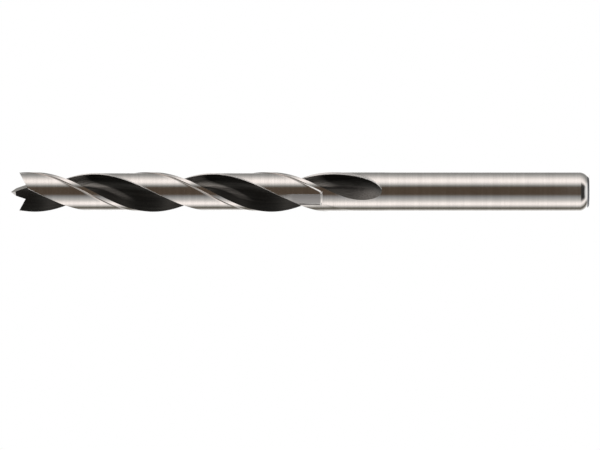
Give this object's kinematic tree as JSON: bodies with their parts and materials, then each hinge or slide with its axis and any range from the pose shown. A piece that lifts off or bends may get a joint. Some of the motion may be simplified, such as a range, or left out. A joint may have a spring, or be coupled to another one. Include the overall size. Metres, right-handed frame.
{
  "type": "brad point drill bit",
  "caption": "Straight-shank brad point drill bit with right-hand helical flutes, relieved lands and a W-shaped ground end, for boring clean holes in wood.",
  "frame": {"origin": "centre of the flat face at the end of the shank, on which the drill stands", "axes": "+Z along the axis of the drill, from the shank to the brad; X along the two cutting lips in the plane of the spur tips"},
  "size_m": [0.008, 0.008, 0.117],
  "materials": {
    "ground_steel": "cylindrically ground, with dark flutes"
  },
  "bodies": {
    "root": {"drill_bit": "ground_steel"}
  },
  "joints": []
}
